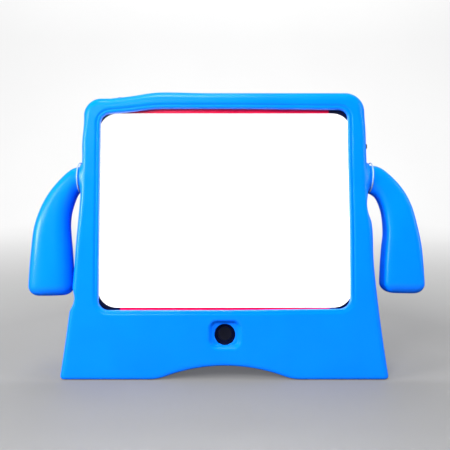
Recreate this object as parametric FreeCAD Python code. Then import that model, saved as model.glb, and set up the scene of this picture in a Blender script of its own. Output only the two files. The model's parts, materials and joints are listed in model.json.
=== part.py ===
"""A kids' toy tablet in a soft carry case with two arms, as separate pieces.

The case is one foam moulding: a rounded frame round a landscape screen, sides that flare down to two broad
feet, and a shoulder boss on each side. A foam arm hangs from each shoulder, with a white band round its root.
Each arm is in two solids, root and arm, cut where the foam bends. The tablet sits in a pocket behind the
frame's lip: bezel, lens, screen, boards, battery, speakers, keys and a rear cover. The whole leans back.

Every piece but the feet's outline is drawn in the screen frame, in millimetres: x to the right, y straight
back from the case's front face, z up along that face, with the origin on the toe line. stand() then leans the
piece back and sets it on the floor, so that the finished frame has +Z up and its origin under the middle of
the feet.
"""

import FreeCAD, Part
import math
import os

V = FreeCAD.Vector

# Stance
LEAN = 8.0
FOOT_DEPTH = 80.0
TOE_Y = -FOOT_DEPTH / 2
HEEL_HEIGHT = 20.0
ARCH_HALF_WIDTH = 60.0
ARCH_HEIGHT = 12.0

# Foam case
CASE_HEIGHT = 262.0
CASE_HALF_TOP = 128.0
CASE_HALF_FLOOR = 147.0
CASE_DEPTH = 32.0
CASE_CORNER = 16.0
CASE_FRONT_ROUND = 9.0
CASE_BACK_ROUND = 7.0
WAIST_HEIGHT = 118.0
WAIST_ROUND = 60.0
LIP = 6.0

# Window in the case and the screen seen through it
WINDOW_HALF_WIDTH = 114.0
WINDOW_LOW, WINDOW_HIGH = 61.4, 245.0
WINDOW_CORNER = 10.0
SCREEN_HALF_WIDTH = 115.5
SCREEN_LOW, SCREEN_HIGH = 64.2, 241.5
SCREEN_CORNER = 17.0

# Tablet: outside, then depths from the case's front face
TABLET_HALF_WIDTH = 119.0
TABLET_LOW, TABLET_HIGH = 28.0, 250.0
TABLET_CORNER = 14.0
TABLET_FRONT = 6.2
BEZEL_BACK = 9.2
COVER_INSIDE = 18.6
TABLET_BACK = 20.2
COVER_WALL = 1.8
POCKET_GAP = 0.3
LENS_FRONT, LENS_BACK = 6.5, 7.7
TOUCH_FRONT, TOUCH_BACK = 7.8, 8.5
DISPLAY_FRONT, DISPLAY_BACK = 8.7, 12.0
PLATE_FRONT, PLATE_BACK = 12.1, 12.7
DISPLAY_HALF_WIDTH = 116.5
DISPLAY_LOW, DISPLAY_HIGH = 62.5, 242.5
DISPLAY_CORNER = 7.5
BOARD_FRONT, BOARD_BACK = 15.0, 16.0
HOME_BOARD_FRONT, HOME_BOARD_BACK = 13.7, 14.7
TRIM_HALF_WIDTH = 95.0
TRIM_HEIGHT = 5.0
TRIM_DEPTH = 0.7

# Controls
HOME_Z = 40.6
HOME_RADIUS = 6.3
HOME_TRAVEL = 0.8
RECESS_HALF = 13.0
RECESS_DEPTH = 3.5
RECESS_HOLE_RADIUS = 8.5
POWER_Y, POWER_Z = 15.4, 212.0
POWER_HALF_Y, POWER_HALF_Z = 2.6, 2.0
POWER_TIP = 131.6
VOLUME_Y = 14.0
VOLUME_KEYS = {"volume_up": -94.0, "volume_down": -78.0}
VOLUME_HALF_WIDTH = 5.0
KEY_GAP = 0.3
SCOOP_X, SCOOP_DEPTH, SCOOP_RADIUS = -96.0, 4.8, 169.0

# Sockets
JACK_Y, JACK_Z = 15.6, 71.0
JACK_BORE = 1.8
JACK_INNER_END = -105.0
CHARGE_Y, CHARGE_Z = 14.4, 158.0

# Rear openings
CAMERA_X, CAMERA_Z = 95.0, 230.0
SPEAKER_X, SPEAKER_Z = 99.0, 120.0
SPEAKER_HALF_X, SPEAKER_HALF_Z = 13.0, 15.0
SLOT_PITCH = 9.0

# Shoulders and arms
SHOULDER_Y, SHOULDER_Z = 16.0, 181.0
BOSS_FACE = 133.5
BOSS_RADIUS = 15.0
BAND_X = 135.3
BAND_RADIUS = 12.75
BAND_THICKNESS = 1.8
BEND_X, BEND_Z = 144.5, 172.0
BEND_HEADING = 50.0
BEND_GAP = 0.3
ARM_RAISE = 30.0

# The arm's stations from root to hand: x, z, heading below level in degrees, width and depth
ARM_STATIONS = [
    (133.8, 181.0, 0.0, 23.3, 23.2),
    (138.2, 178.6, 12.0, 24.2, 23.8),
    (144.2, 172.2, 28.0, 24.8, 24.4),
    (150.9, 161.2, 44.0, 26.4, 25.2),
    (155.6, 148.2, 57.0, 30.0, 26.8),
    (158.4, 133.0, 73.0, 33.4, 28.6),
    (159.5, 116.5, 86.0, 37.2, 30.2),
    (159.6, 100.0, 90.0, 39.6, 31.4),
    (159.6, 87.0, 90.0, 40.8, 32.0),
]
HAND_END = 75.0
HAND_ROUND = 9.0

# Screws
HOUSING_SCREWS = [(-105.0, 44.0), (-45.0, 44.0), (45.0, 44.0), (105.0, 44.0)]
MAIN_BOARD_SCREWS = [(-108.0, 146.0), (-62.0, 146.0), (-108.0, 234.0), (-56.0, 234.0)]
SIDE_BOARD_SCREWS = [(74.0, 146.0), (74.0, 218.0), (106.0, 147.0), (106.0, 218.0)]
AUDIO_BOARD_SCREWS = [(-74.0, 66.0), (-74.0, 84.0)]
BOARD_SCREWS = MAIN_BOARD_SCREWS + SIDE_BOARD_SCREWS + AUDIO_BOARD_SCREWS
HOME_SCREWS = [(-10.0, HOME_Z), (10.0, HOME_Z)]
HOOKS = [-25.0, 15.0, 55.0]


# Shapes in the screen frame
def box(x0, x1, y0, y1, z0, z1):
    return Part.makeBox(x1 - x0, y1 - y0, z1 - z0, V(x0, y0, z0))


def plate(half_width, low, high, corner, y0, y1, centre=0.0):
    """A plate parallel to the screen, with rounded corners."""
    block = box(centre - half_width, centre + half_width, y0, y1, low, high)
    upright = [e for e in block.Edges if abs(e.tangentAt(e.FirstParameter).y) > 0.99]
    return block.makeFillet(corner, upright)


def rod(direction, radius, start, end, a, b):
    """A cylinder along x, y or z from start to end. a and b are its place on the other two axes, in order."""
    base = {"x": V(start, a, b), "y": V(a, start, b), "z": V(a, b, start)}[direction]
    along = {"x": V(1, 0, 0), "y": V(0, 1, 0), "z": V(0, 0, 1)}[direction]
    return Part.makeCylinder(radius, end - start, base, along)


def cone_back(r_front, r_back, start, end, x, z):
    return Part.makeCone(r_front, r_back, end - start, V(x, start, z), V(0, 1, 0))


def slot(width, height, y0, y1, x, z):
    """A bar along y with half-round ends, width along x and height along z."""
    if width > height:
        return plate(width / 2, z - height / 2, z + height / 2, height / 2 - 0.01, y0, y1, x)
    return plate(width / 2, z - height / 2, z + height / 2, width / 2 - 0.01, y0, y1, x)


def mirrored(shape):
    return shape.mirror(V(0, 0, 0), V(1, 0, 0))


def stand(shape):
    """Leans a shape back about the toe line and sets it over the middle of the feet."""
    placed = shape.copy()
    placed.rotate(V(0, 0, 0), V(1, 0, 0), -LEAN)
    placed.translate(V(0, TOE_Y, 0))
    return placed


# The foam case
def case_front_view():
    """The case's outline seen from the front, as a prism: flared sides, tangent corner arcs, flat top."""
    rise = CASE_HEIGHT - CASE_CORNER
    flare = CASE_HALF_FLOOR - CASE_HALF_TOP
    radius = (rise**2 + flare**2) / (2 * flare)
    middle = rise / 2
    half_at_middle = CASE_HALF_TOP + radius - math.sqrt(radius**2 - (rise - middle) ** 2)
    inner = CASE_HALF_TOP - CASE_CORNER
    diagonal = CASE_CORNER * math.sqrt(0.5)
    below = -3.0
    edges = [
        Part.LineSegment(V(-CASE_HALF_FLOOR, 0, below), V(CASE_HALF_FLOOR, 0, below)),
        Part.LineSegment(V(CASE_HALF_FLOOR, 0, below), V(CASE_HALF_FLOOR, 0, 0)),
        Part.Arc(V(CASE_HALF_FLOOR, 0, 0), V(half_at_middle, 0, middle), V(CASE_HALF_TOP, 0, rise)),
        Part.Arc(
            V(CASE_HALF_TOP, 0, rise), V(inner + diagonal, 0, rise + diagonal), V(inner, 0, CASE_HEIGHT)
        ),
        Part.LineSegment(V(inner, 0, CASE_HEIGHT), V(-inner, 0, CASE_HEIGHT)),
        Part.Arc(
            V(-inner, 0, CASE_HEIGHT), V(-inner - diagonal, 0, rise + diagonal), V(-CASE_HALF_TOP, 0, rise)
        ),
        Part.Arc(V(-CASE_HALF_TOP, 0, rise), V(-half_at_middle, 0, middle), V(-CASE_HALF_FLOOR, 0, 0)),
        Part.LineSegment(V(-CASE_HALF_FLOOR, 0, 0), V(-CASE_HALF_FLOOR, 0, below)),
    ]
    face = Part.Face(Part.Wire([e.toShape() for e in edges]))
    face.translate(V(0, -10, 0))
    return stand(face.extrude(V(0, FOOT_DEPTH + 40, 0)))


def case_side_view():
    """The case's side profile on the floor, as a prism: leaning slab with a wedge foot behind it."""

    def leaned(y, z):
        a = math.radians(LEAN)
        return V(0, TOE_Y + y * math.cos(a) + z * math.sin(a), z * math.cos(a) - y * math.sin(a))

    heel = TOE_Y + FOOT_DEPTH
    corners = [
        V(0, TOE_Y, 0),
        leaned(0, CASE_HEIGHT),
        leaned(CASE_DEPTH, CASE_HEIGHT),
        leaned(CASE_DEPTH, WAIST_HEIGHT),
        V(0, heel, HEEL_HEIGHT),
        V(0, heel, 0),
    ]
    wide = CASE_HALF_FLOOR + 20
    face = Part.Face(Part.makePolygon([*corners, corners[0]]))
    face.translate(V(-wide, 0, 0))
    prism = face.extrude(V(2 * wide, 0, 0))
    waist = [e for e in prism.Edges if near(e, leaned(CASE_DEPTH, WAIST_HEIGHT))]
    prism = prism.makeFillet(WAIST_ROUND, waist)
    heel_top = [e for e in prism.Edges if near(e, V(0, heel, HEEL_HEIGHT))]
    return prism.makeFillet(12.0, heel_top)


def near(edge, point, within=0.05):
    """Whether an edge along x passes through a point of the side profile."""
    return all(abs(v.Y - point.y) < within and abs(v.Z - point.z) < within for v in edge.Vertexes)


def case_block():
    """The solid moulding before anything is cut out of it, with its long edges rounded."""
    block = case_front_view().common(case_side_view()).removeSplitter()
    block = Part.Solid(block.Solids[0])
    a = math.radians(LEAN)
    normal = V(0, -math.cos(a), math.sin(a))

    def ahead(point):
        return (point - V(0, TOE_Y, 0)).dot(normal)

    def is_side(edge):
        """An edge of the front or back outline, and not of the sole or one that runs from front to back."""
        ends = [v.Point for v in edge.Vertexes]
        middle = edge.valueAt((edge.FirstParameter + edge.LastParameter) / 2)
        return min(p.z for p in ends) > -0.01 and middle.z > 0.5

    front = [e for e in block.Edges if is_side(e) and all(abs(ahead(v.Point)) < 0.02 for v in e.Vertexes)]
    block = block.makeFillet(CASE_FRONT_ROUND, front)
    planes = [f for f in block.Faces if back_facing(f)]
    rims = []
    for edge in block.Edges:
        touching = [f for f in planes if any(edge.isSame(other) for other in f.Edges)]
        if len(touching) == 1 and is_side(edge):
            rims.append(edge)
    return block.makeFillet(CASE_BACK_ROUND, rims)


def back_facing(face):
    """Whether a face is one of the strips that make up the case's back."""
    u0, u1, v0, v1 = face.ParameterRange
    normal = face.normalAt((u0 + u1) / 2, (v0 + v1) / 2)
    return normal.y > 0.2 and abs(normal.x) < 0.01


def case_cuts():
    """What is cut out of the moulding, in the screen frame."""
    gap = POCKET_GAP
    half, low, high = TABLET_HALF_WIDTH + gap, TABLET_LOW - gap, TABLET_HIGH + gap
    recess_low, recess_high = HOME_Z - RECESS_HALF + 1, HOME_Z + RECESS_HALF - 1
    cuts = [
        plate(half, low, high, TABLET_CORNER + gap, LIP, TABLET_BACK + gap),
        plate(WINDOW_HALF_WIDTH, WINDOW_LOW, WINDOW_HIGH, WINDOW_CORNER, -5, LIP + 0.1),
        plate(RECESS_HALF, recess_low, recess_high, 6.0, -5, RECESS_DEPTH),
        rod("y", RECESS_HOLE_RADIUS, RECESS_DEPTH - 1, LIP + 0.1, 0, HOME_Z),
        cone_back(9.0, 12.0, TABLET_BACK, CASE_DEPTH + 1, CAMERA_X, CAMERA_Z),
        rod("y", SCOOP_RADIUS, -5, CASE_DEPTH + 5, SCOOP_X, CASE_HEIGHT - SCOOP_DEPTH + SCOOP_RADIUS),
        rod("y", 9.0, -30, FOOT_DEPTH + 30, -(CASE_HALF_TOP + 16.6), JACK_Z),
        rod("x", 5.5, -CASE_HALF_FLOOR, -TABLET_HALF_WIDTH, JACK_Y, JACK_Z),
        rod("y", 46.0, -5, CASE_DEPTH + 5, CASE_HALF_TOP + 46.4, CHARGE_Z),
        charge_cutout(),
        power_hole(TABLET_HALF_WIDTH - 1, CASE_HALF_TOP + 5, 1.0),
    ]
    for x in VOLUME_KEYS.values():
        half = VOLUME_HALF_WIDTH + 0.8
        cuts.append(box(x - half, x + half, VOLUME_Y - 2.9, VOLUME_Y + 2.9, TABLET_HIGH - 1, CASE_HEIGHT + 1))
    for side in (-1, 1):
        for row in (-1, 0, 1):
            z = SPEAKER_Z + row * SLOT_PITCH
            cuts.append(slot(24.0, 5.0, TABLET_BACK, CASE_DEPTH + 12, side * SPEAKER_X, z))
    return cuts


def power_hole(x0, x1, gap):
    """A hole round the power key, the gap larger than the key on each side."""
    half_y, half_z = POWER_HALF_Y + gap, POWER_HALF_Z + gap
    return box(x0, x1, POWER_Y - half_y, POWER_Y + half_y, POWER_Z - half_z, POWER_Z + half_z)


def charge_cutout():
    """The hole through the case's side for a charging plug."""
    hole = box(TABLET_HALF_WIDTH - 1, CASE_HALF_FLOOR, CHARGE_Y - 5, CHARGE_Y + 5, CHARGE_Z - 8, CHARGE_Z + 8)
    along_x = [e for e in hole.Edges if abs(e.tangentAt(e.FirstParameter).x) > 0.99]
    return hole.makeFillet(4.5, along_x)


def shoulder_boss():
    """The tapered stub on the case's side that an arm grows from."""
    base = V(BOSS_FACE - 12, SHOULDER_Y, SHOULDER_Z)
    return Part.makeCone(BOSS_RADIUS + 1.0, BOSS_RADIUS - 1.0, 12.0, base, V(1, 0, 0))


def make_case_body():
    body = case_block()
    bosses = [stand(shoulder_boss()), stand(mirrored(shoulder_boss()))]
    body = body.fuse(bosses)
    arch_radius = (ARCH_HALF_WIDTH**2 + ARCH_HEIGHT**2) / (2 * ARCH_HEIGHT)
    arch = rod("y", arch_radius, TOE_Y - 10, TOE_Y + FOOT_DEPTH + 10, 0, ARCH_HEIGHT - arch_radius)
    return body.cut([stand(c) for c in case_cuts()] + [arch])


# Arms and shoulders, drawn on the right-hand side
def ellipse(x, z, heading, width, depth):
    """One section of the arm, square to its centreline, its width in the x-z plane and its depth along y."""
    a = math.radians(heading)
    across = V(math.sin(a), 0, math.cos(a))
    centre = V(x, SHOULDER_Y, z)
    curve = Part.Ellipse(centre + across * (width / 2), centre + V(0, depth / 2, 0), centre)
    return Part.Wire([curve.toBSpline().toShape()])


def whole_arm():
    """A soft arm that droops from the shoulder, widens downwards and ends in a flat, round-edged hand."""
    sections = [ellipse(*station) for station in ARM_STATIONS]
    x, _, heading, width, depth = ARM_STATIONS[-1]
    sections.append(ellipse(x, HAND_END, heading, width, depth))
    arm = Part.makeLoft(sections, True, False)
    return arm.makeFillet(HAND_ROUND, [e for e in arm.Edges if e.BoundBox.ZMax < HAND_END + 0.5])


def beyond_bend(offset, opening):
    """All that lies past the arm's bend, as a prism, its outer half turned back by the opening in degrees."""
    heading, turn = math.radians(BEND_HEADING), math.radians(opening)
    along = V(math.cos(heading), 0, -math.sin(heading))
    out = V(math.sin(heading), 0, math.cos(heading))
    reach = 150.0
    bend = V(BEND_X, -20, BEND_Z) + along * offset
    corners = [
        bend,
        bend + (out * math.cos(turn) - along * math.sin(turn)) * reach,
        bend + (out + along) * reach,
        bend + (along - out) * reach,
        bend - out * reach,
    ]
    return Part.Face(Part.makePolygon([*corners, corners[0]])).extrude(V(0, 80, 0))


def make_arm_root():
    """The arm from the shoulder to its bend, cut back on the outer side so that the arm can be raised."""
    return whole_arm().cut(beyond_bend(0.0, ARM_RAISE + 2))


def make_arm():
    return whole_arm().common(beyond_bend(BEND_GAP, 0.0))


def make_arm_band():
    """A round elastic band that grips the arm's root."""
    return Part.makeTorus(BAND_RADIUS, BAND_THICKNESS / 2, V(BAND_X, SHOULDER_Y, SHOULDER_Z), V(1, 0, 0))


# Tablet: outside
def make_front_bezel():
    """The black front frame: screen opening, trim grooves, button hole, screw bosses and top hooks."""
    bezel = plate(TABLET_HALF_WIDTH, TABLET_LOW, TABLET_HIGH, TABLET_CORNER, TABLET_FRONT, BEZEL_BACK)
    bosses = [rod("y", 3.0, BEZEL_BACK - 0.5, 11.9, x, z) for x, z in HOUSING_SCREWS]
    hooks = []
    inner_top = TABLET_HIGH - COVER_WALL
    for x in HOOKS:
        hooks.append(box(x - 4, x + 4, BEZEL_BACK - 0.5, 12.0, inner_top - 1.6, inner_top - 0.2))
        hooks.append(box(x - 4, x + 4, 10.7, 11.7, inner_top - 0.3, inner_top + 0.7))
    bezel = bezel.fuse(bosses + hooks)
    half, corner = DISPLAY_HALF_WIDTH + 0.5, DISPLAY_CORNER + 0.5
    cuts = [
        plate(SCREEN_HALF_WIDTH, SCREEN_LOW, SCREEN_HIGH, SCREEN_CORNER, 5, 10),
        plate(half, DISPLAY_LOW - 1, DISPLAY_HIGH + 1, corner, LENS_BACK + 0.05, 10),
        trim_bar(SCREEN_HIGH, 0.0),
        trim_bar(SCREEN_LOW - TRIM_HEIGHT, 0.0),
        rod("y", HOME_RADIUS + 0.2, 5, 10, 0, HOME_Z),
    ]
    cuts += [rod("y", 1.05, 8.0, 12.5, x, z) for x, z in HOUSING_SCREWS]
    return bezel.cut(cuts)


def trim_bar(low, gap):
    half = TRIM_HALF_WIDTH - gap
    return box(-half, half, TABLET_FRONT, TABLET_FRONT + TRIM_DEPTH - gap, low + gap, low + TRIM_HEIGHT - gap)


def make_rear_cover():
    """The tablet's rear tray: walls, bosses, speaker grilles, camera seat, and holes for keys and sockets."""
    tray = plate(TABLET_HALF_WIDTH, TABLET_LOW, TABLET_HIGH, TABLET_CORNER, BEZEL_BACK + 0.05, TABLET_BACK)
    wall = COVER_WALL
    hollow = plate(
        TABLET_HALF_WIDTH - wall, TABLET_LOW + wall, TABLET_HIGH - wall, TABLET_CORNER - wall, 5, COVER_INSIDE
    )
    bosses = [rod("y", 3.2, 11.95, COVER_INSIDE + 0.5, x, z) for x, z in HOUSING_SCREWS]
    bosses += [rod("y", 2.4, BOARD_BACK + 0.05, COVER_INSIDE + 0.5, x, z) for x, z in BOARD_SCREWS]
    bosses += [rod("y", 2.4, HOME_BOARD_BACK + 0.05, COVER_INSIDE + 0.5, x, z) for x, z in HOME_SCREWS]
    tray = tray.cut(hollow).fuse(bosses)
    side = TABLET_HALF_WIDTH
    cuts = [rod("y", 1.25, 11, TABLET_BACK + 1, x, z) for x, z in HOUSING_SCREWS]
    cuts += [rod("y", 2.3, COVER_INSIDE - 0.6, TABLET_BACK + 1, x, z) for x, z in HOUSING_SCREWS]
    cuts += [rod("y", 0.8, 12, 18.4, x, z) for x, z in BOARD_SCREWS + HOME_SCREWS]
    cuts += [
        rod("y", 3.8, COVER_INSIDE - 1, TABLET_BACK + 1, CAMERA_X, CAMERA_Z),
        rod("y", 4.9, TABLET_BACK - 0.7, TABLET_BACK + 1, CAMERA_X, CAMERA_Z),
        rod("x", 3.1, -side - 1, -side + 3, JACK_Y, JACK_Z),
        box(side - 3, side + 1, CHARGE_Y - 1.9, CHARGE_Y + 1.9, CHARGE_Z - 4.9, CHARGE_Z + 4.9),
        power_hole(side - 3, side + 1, KEY_GAP),
    ]
    for x in VOLUME_KEYS.values():
        half = VOLUME_HALF_WIDTH + KEY_GAP
        cuts.append(box(x - half, x + half, VOLUME_Y - 2.3, VOLUME_Y + 2.3, TABLET_HIGH - 3, TABLET_HIGH + 1))
    for x in HOOKS:
        cuts.append(box(x - 4.5, x + 4.5, 10.3, 12.1, TABLET_HIGH - wall - 1, TABLET_HIGH - wall + 1.0))
    for hand in (-1, 1):
        for row in range(-2, 3):
            z = SPEAKER_Z + row * SLOT_PITCH / 2
            cuts.append(slot(20.0, 2.2, COVER_INSIDE - 1, TABLET_BACK + 1, hand * SPEAKER_X, z))
    return tray.cut(cuts)


def make_cover_lens():
    gap = 0.2
    low, high = SCREEN_LOW + gap, SCREEN_HIGH - gap
    return plate(SCREEN_HALF_WIDTH - gap, low, high, SCREEN_CORNER - gap, LENS_FRONT, LENS_BACK)


def make_touch_panel():
    return plate(116.4, SCREEN_LOW - 1.4, SCREEN_HIGH + 1.4, 7.0, TOUCH_FRONT, TOUCH_BACK)


def make_display_panel():
    return plate(DISPLAY_HALF_WIDTH, DISPLAY_LOW, DISPLAY_HIGH, DISPLAY_CORNER, DISPLAY_FRONT, DISPLAY_BACK)


def make_display_backplate():
    """The pressed steel plate behind the display, lightened by four windows."""
    sheet = plate(DISPLAY_HALF_WIDTH, DISPLAY_LOW, DISPLAY_HIGH, DISPLAY_CORNER, PLATE_FRONT, PLATE_BACK)
    places = (-84.0, -28.0, 28.0, 84.0)
    windows = [plate(22.0, 72.0, 232.0, 6.0, PLATE_FRONT - 1, PLATE_BACK + 1, x) for x in places]
    return sheet.cut(windows)


def make_upper_trim():
    return trim_bar(SCREEN_HIGH, 0.05)


def make_lower_trim():
    return trim_bar(SCREEN_LOW - TRIM_HEIGHT, 0.05)


# Tablet: controls
def make_home_button():
    """A domed cap with a retaining flange behind the bezel."""
    cap = rod("y", HOME_RADIUS, TABLET_FRONT - 0.8, BEZEL_BACK + 0.1, 0, HOME_Z)
    rim = [e for e in cap.Edges if abs(e.BoundBox.YMax - (TABLET_FRONT - 0.8)) < 0.01]
    cap = cap.makeFillet(0.7, rim)
    return cap.fuse(rod("y", HOME_RADIUS + 1.7, BEZEL_BACK + 0.05, 10.2, 0, HOME_Z))


def make_home_switch():
    """The snap switch behind the home button, with its round actuator."""
    body = box(-3, 3, 11.8, HOME_BOARD_FRONT - 0.05, HOME_Z - 3, HOME_Z + 3)
    return body.fuse(rod("y", 1.7, 11.1, 12.0, 0, HOME_Z))


def make_home_switch_board():
    sheet = plate(14.0, HOME_Z - 7, HOME_Z + 7, 1.5, HOME_BOARD_FRONT, HOME_BOARD_BACK)
    return sheet.cut([rod("y", 0.9, 13, 15.5, x, z) for x, z in HOME_SCREWS])


def make_power_key():
    """A key that reaches through the case's side, with a retaining flange inside the cover."""
    inside = TABLET_HALF_WIDTH - COVER_WALL
    stem = power_hole(inside - 0.3, POWER_TIP, 0.0)
    tip = [e for e in stem.Edges if e.BoundBox.XMin > POWER_TIP - 0.01]
    stem = stem.makeFillet(0.9, tip)
    return stem.fuse(box(inside - 1.6, inside - 0.1, 12.85, 18.4, POWER_Z - 4.6, POWER_Z + 4.6))


def make_power_switch():
    body = box(109.6, 113.2, 12.8, BOARD_FRONT - 0.05, POWER_Z - 3, POWER_Z + 3)
    return body.fuse(box(113.0, 114.5, 13.2, 14.6, POWER_Z - 1, POWER_Z + 1))


def make_volume_key(x):
    """A bar key that reaches through the case's top edge, with a retaining flange inside the cover."""
    inside = TABLET_HIGH - COVER_WALL
    surface = CASE_HEIGHT - SCOOP_DEPTH + (x - SCOOP_X) ** 2 / (2 * SCOOP_RADIUS)
    half = VOLUME_HALF_WIDTH
    stem = box(x - half, x + half, VOLUME_Y - 2, VOLUME_Y + 2, inside - 0.3, surface + 0.6)
    tip = [e for e in stem.Edges if e.BoundBox.ZMin > surface + 0.59]
    stem = stem.makeFillet(0.8, tip)
    low, high = inside - 1.4, inside - 0.1
    return stem.fuse(box(x - half - 1.4, x + half + 1.4, VOLUME_Y - 3, VOLUME_Y + 3, low, high))


def make_volume_switch_board():
    return box(-103, -69, 11.2, 16.8, 243.0, 243.9)


def make_volume_switches():
    switches = []
    for x in VOLUME_KEYS.values():
        body = box(x - 2.2, x + 2.2, VOLUME_Y - 1.8, VOLUME_Y + 1.8, 243.95, 245.2)
        switches.append(body.fuse(rod("z", 1.0, 245.0, 246.0, x, VOLUME_Y)))
    return Part.makeCompound(switches)


# Tablet: electronics
def board(x0, x1, z0, z1, screws):
    """A circuit board on the cover's bosses, with a hole for each of its screws."""
    sheet = plate((x1 - x0) / 2, z0, z1, 2.0, BOARD_FRONT, BOARD_BACK, (x0 + x1) / 2)
    return sheet.cut([rod("y", 0.9, BOARD_FRONT - 1, BOARD_BACK + 1, x, z) for x, z in screws])


def make_main_board():
    return board(-112, -52, 142, 238, MAIN_BOARD_SCREWS)


def make_side_board():
    """The board for the charging socket and the power switch, notched round the socket."""
    notch = box(110.4, 115, BOARD_FRONT - 1, BOARD_BACK + 1, CHARGE_Z - 5.5, CHARGE_Z + 5.5)
    return board(70, 113.4, 142, 222, SIDE_BOARD_SCREWS).cut(notch)


def make_audio_board():
    return board(-102.8, -70, 62, 88, AUDIO_BOARD_SCREWS)


def make_board_chips():
    """The packages on the main and side boards, which stand forward towards the display."""
    top = BOARD_FRONT - 0.02
    places = [
        (-106, -94, 160, 172, 1.3),
        (-106, -98, 180, 196, 1.1),
        (-74, -60, 160, 168, 1.2),
        (-104, -92, 214, 224, 1.0),
        (-70, -62, 222, 230, 1.2),
        (80, 90, 168, 178, 1.2),
        (94, 102, 184, 190, 1.0),
        (82, 88, 200, 206, 1.4),
    ]
    return Part.makeCompound([box(x0, x1, top - h, top, z0, z1) for x0, x1, z0, z1, h in places])


def make_processor_shield():
    """A pressed steel can over the processor, open towards the board."""
    top = BOARD_FRONT - 0.02
    can = plate(14.0, 184, 212, 1.0, top - 1.9, top, -77.0)
    return can.cut(plate(13.8, 184.2, 211.8, 0.8, top - 1.7, top + 1, -77.0))


def make_battery_cell(x):
    cell = box(x - 25.5, x + 25.5, 13.1, 17.7, 66, 178)
    long_edges = [e for e in cell.Edges if abs(e.tangentAt(e.FirstParameter).z) > 0.99]
    return cell.makeFillet(1.6, long_edges)


def make_battery_board():
    """The narrow protection board over both cells' tabs."""
    return box(-40, 52, 14.0, 14.8, 178.6, 186.0)


def pipe(edges, radius):
    """A round wire of lines and tangent arcs."""
    path = Part.Wire([e.toShape() for e in edges])
    start = edges[0].StartPoint
    heading = edges[0].tangent(edges[0].FirstParameter)[0]
    ring = Part.Wire([Part.Circle(start, heading, radius).toShape()])
    return path.makePipeShell([ring], True, False)


def make_battery_leads():
    """Two insulated wires from the protection board up and round into the main board's connector."""
    wires = []
    for step in (0.0, 1.6):
        x, bend, level = -34.0 - step, 4.0 - step / 2, 192.0 - step
        diagonal = bend * math.sqrt(0.5)
        corner = V(x - bend, 14.3, level - bend)
        middle = corner + V(diagonal, 0, diagonal)
        wires.append(
            pipe(
                [
                    Part.LineSegment(V(x, 14.3, 186.05), V(x, 14.3, level - bend)),
                    Part.Arc(V(x, 14.3, level - bend), middle, corner + V(0, 0, bend)),
                    Part.LineSegment(V(x - bend, 14.3, level), V(-52.95, 14.3, level)),
                ],
                0.6,
            )
        )
    return Part.makeCompound(wires)


def make_battery_connector():
    return box(-59, -53, 13.2, BOARD_FRONT - 0.02, 187.5, 194.5)


def make_speaker(x):
    """A flat speaker with its cone towards the rear grille."""
    frame = plate(SPEAKER_HALF_X, SPEAKER_Z - SPEAKER_HALF_Z, SPEAKER_Z + SPEAKER_HALF_Z, 3.0, 13.2, 18.2, x)
    bowl = cone_back(4.0, 10.0, 16.2, 18.3, x, SPEAKER_Z)
    return frame.cut(bowl)


def make_speaker_cones():
    """The diaphragms with their dust caps, one in each speaker's bowl."""
    cones = []
    for x in (-SPEAKER_X, SPEAKER_X):
        skin = cone_back(4.15, 8.7, 16.3, 17.9, x, SPEAKER_Z)
        skin = skin.cut(cone_back(4.15, 8.7, 16.6, 18.2, x, SPEAKER_Z))
        cap = rod("y", 3.6, 16.25, 16.9, x, SPEAKER_Z)
        cones.append(skin.fuse(cap))
    return Part.makeCompound(cones)


def make_speaker_gaskets():
    rings = []
    low, high = SPEAKER_Z - SPEAKER_HALF_Z, SPEAKER_Z + SPEAKER_HALF_Z
    for x in (-SPEAKER_X, SPEAKER_X):
        outer = plate(SPEAKER_HALF_X, low, high, 3.0, 18.22, 18.58, x)
        inner = plate(SPEAKER_HALF_X - 2, low + 2, high - 2, 2.0, 18, 19, x)
        rings.append(outer.cut(inner))
    return Part.makeCompound(rings)


def make_speaker_leads():
    wires = []
    for x in (-SPEAKER_X, SPEAKER_X):
        for step in (-1.5, 1.5):
            wires.append(rod("z", 0.5, SPEAKER_Z + SPEAKER_HALF_Z + 0.05, 146.0, x + step, BOARD_FRONT - 0.6))
    return Part.makeCompound(wires)


def make_headphone_jack():
    """The socket body with a round collar in the cover's wall and a blind bore for the plug."""
    side = TABLET_HALF_WIDTH
    body = box(-side + COVER_WALL + 0.1, -103.0, JACK_Y - 2.6, JACK_Y + 2.6, JACK_Z - 3.4, JACK_Z + 3.4)
    body = body.fuse(rod("x", 2.9, -side, -110, JACK_Y, JACK_Z).cut(box(-200, 0, 0, 12.95, 0, 200)))
    return body.cut(rod("x", JACK_BORE, -side - 1, JACK_INNER_END, JACK_Y, JACK_Z))


def make_charge_port():
    """The charging socket's steel shell, closed at the back."""
    side = TABLET_HALF_WIDTH
    shell = rounded_bar(110.6, side - 0.1, 1.55, 4.5, 1.4)
    return shell.cut(rounded_bar(111.2, side + 1, 1.2, 4.15, 1.1))


def make_charge_tongue():
    return box(111.3, TABLET_HALF_WIDTH - 0.8, CHARGE_Y - 0.3, CHARGE_Y + 0.3, CHARGE_Z - 3.2, CHARGE_Z + 3.2)


def rounded_bar(x0, x1, half_y, half_z, corner):
    """A bar along x at the charging socket."""
    bar = box(x0, x1, CHARGE_Y - half_y, CHARGE_Y + half_y, CHARGE_Z - half_z, CHARGE_Z + half_z)
    return bar.makeFillet(corner, [e for e in bar.Edges if abs(e.tangentAt(e.FirstParameter).x) > 0.99])


def make_rear_camera():
    """The camera block with its lens barrel in the cover's hole."""
    block = box(CAMERA_X - 4.5, CAMERA_X + 4.5, 13.4, 18.0, CAMERA_Z - 4.5, CAMERA_Z + 4.5)
    barrel = rod("y", 3.4, 17.9, 19.3, CAMERA_X, CAMERA_Z)
    return block.fuse(barrel).cut(rod("y", 2.0, 18.4, 20, CAMERA_X, CAMERA_Z))


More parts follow.
